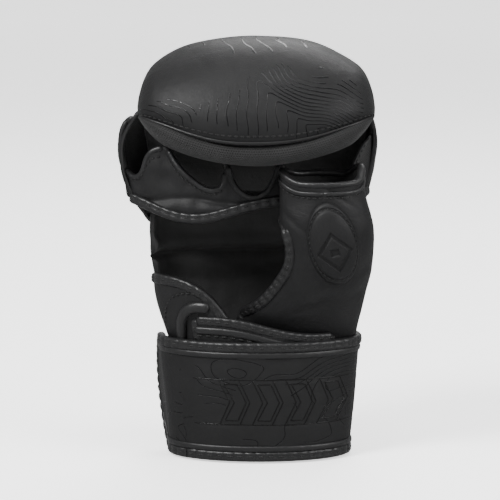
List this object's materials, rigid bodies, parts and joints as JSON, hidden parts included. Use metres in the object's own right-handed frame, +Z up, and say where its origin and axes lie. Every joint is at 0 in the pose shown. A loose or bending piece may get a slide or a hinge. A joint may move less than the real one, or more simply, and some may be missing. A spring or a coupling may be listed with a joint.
{
  "type": "mma glove",
  "caption": "Right-hand sparring glove: curved padded knuckle bun, open palm, looped fingers, enclosed thumb sleeve and a wide wrap-around wrist strap.",
  "frame": {"origin": "centre of the wrist opening, in the plane of the cuff's rim that the glove stands on", "axes": "+Z up along the forearm towards the knuckles, -Y is the way the palm faces, +Y the back of the hand, +X the thumb's side"},
  "size_m": [0.1547, 0.1119, 0.2513],
  "materials": {
    "leather": "matte",
    "binding_leather": "satin",
    "lining_fabric": "matte",
    "mesh_fabric": "matte",
    "foam": "matte",
    "hook_tape": "matte",
    "loop_tape": "matte"
  },
  "bodies": {
    "hand": {"cuff_shell": "leather", "cuff_padding": "foam", "cuff_lining": "lining_fabric", "cuff_rim_binding": "binding_leather", "cuff_loop_patch": "loop_tape", "strap_root_panel": "leather", "strap_root_bindings": "binding_leather", "strap_anchor": "leather", "tab_root": "leather", "hand_back_shell": "leather", "hand_back_padding": "foam", "hand_back_lining": "lining_fabric", "heel_panel": "leather", "heel_binding": "binding_leather", "slot_rim": "binding_leather", "thenar_panel": "leather", "thenar_binding": "binding_leather"},
    "strap_front": {"strap_front_panel": "leather", "strap_front_bindings": "binding_leather"},
    "strap_tip": {"strap_tip_panel": "leather", "strap_hook_patch": "hook_tape"},
    "tab": {"tab_panel": "leather", "tab_bindings": "binding_leather"},
    "thumb": {"thumb_shell": "leather", "thumb_lining": "lining_fabric", "thumb_mouth_binding": "binding_leather", "palm_edge_binding": "binding_leather", "thumb_guard_foam": "foam", "thumb_guard_cover": "leather"},
    "knuckle": {"palm_band": "leather", "palm_band_binding": "binding_leather", "finger_loop_pinky": "leather", "finger_loop_ring": "leather", "finger_loop_middle": "leather", "finger_loop_index": "leather", "index_gusset_mesh": "mesh_fabric", "finger_divider_1": "leather", "finger_divider_2": "leather", "finger_divider_3": "leather", "pinky_side_wall": "leather", "index_side_wall": "leather", "knuckle_back_shell": "leather", "knuckle_back_padding": "foam", "knuckle_back_lining": "lining_fabric", "pad_shell": "leather", "pad_lining": "lining_fabric", "pad_outer_foam": "foam", "pad_inner_foam": "foam"}
  },
  "joints": [
    {"name": "knuckle_flex", "type": "hinge", "parent": "hand", "child": "knuckle", "pos_m": [0, 0.022, 0.127], "axis": [1, 0, 0], "range_deg": [-20, 3], "stiffness_Nm_per_rad": 2, "springref_deg": -0.57},
    {"name": "thumb_spread", "type": "hinge", "parent": "hand", "child": "thumb", "pos_m": [0.0665, -0.0015, 0.11], "axis": [0, 0, 1], "range_deg": [0, 18], "stiffness_Nm_per_rad": 0.2},
    {"name": "strap_peel", "type": "hinge", "parent": "hand", "child": "strap_front", "pos_m": [0.05684, -0.01208, 0.036], "axis": [0, 0, 1], "range_deg": [0, 85]},
    {"name": "strap_tip_peel", "type": "hinge", "parent": "strap_front", "child": "strap_tip", "pos_m": [-0.05227, -0.018, 0.036], "axis": [0, 0, 1], "range_deg": [0, 56]},
    {"name": "tab_peel", "type": "hinge", "parent": "hand", "child": "tab", "pos_m": [0.04529, -0.02112, 0.046], "axis": [0, 0, 1], "range_deg": [0, 56]}
  ],
  "couplings": [
    {"joint": "strap_tip_peel", "follows": "strap_peel", "ratio": 0.65},
    {"joint": "tab_peel", "follows": "strap_peel", "ratio": 0.65}
  ]
}
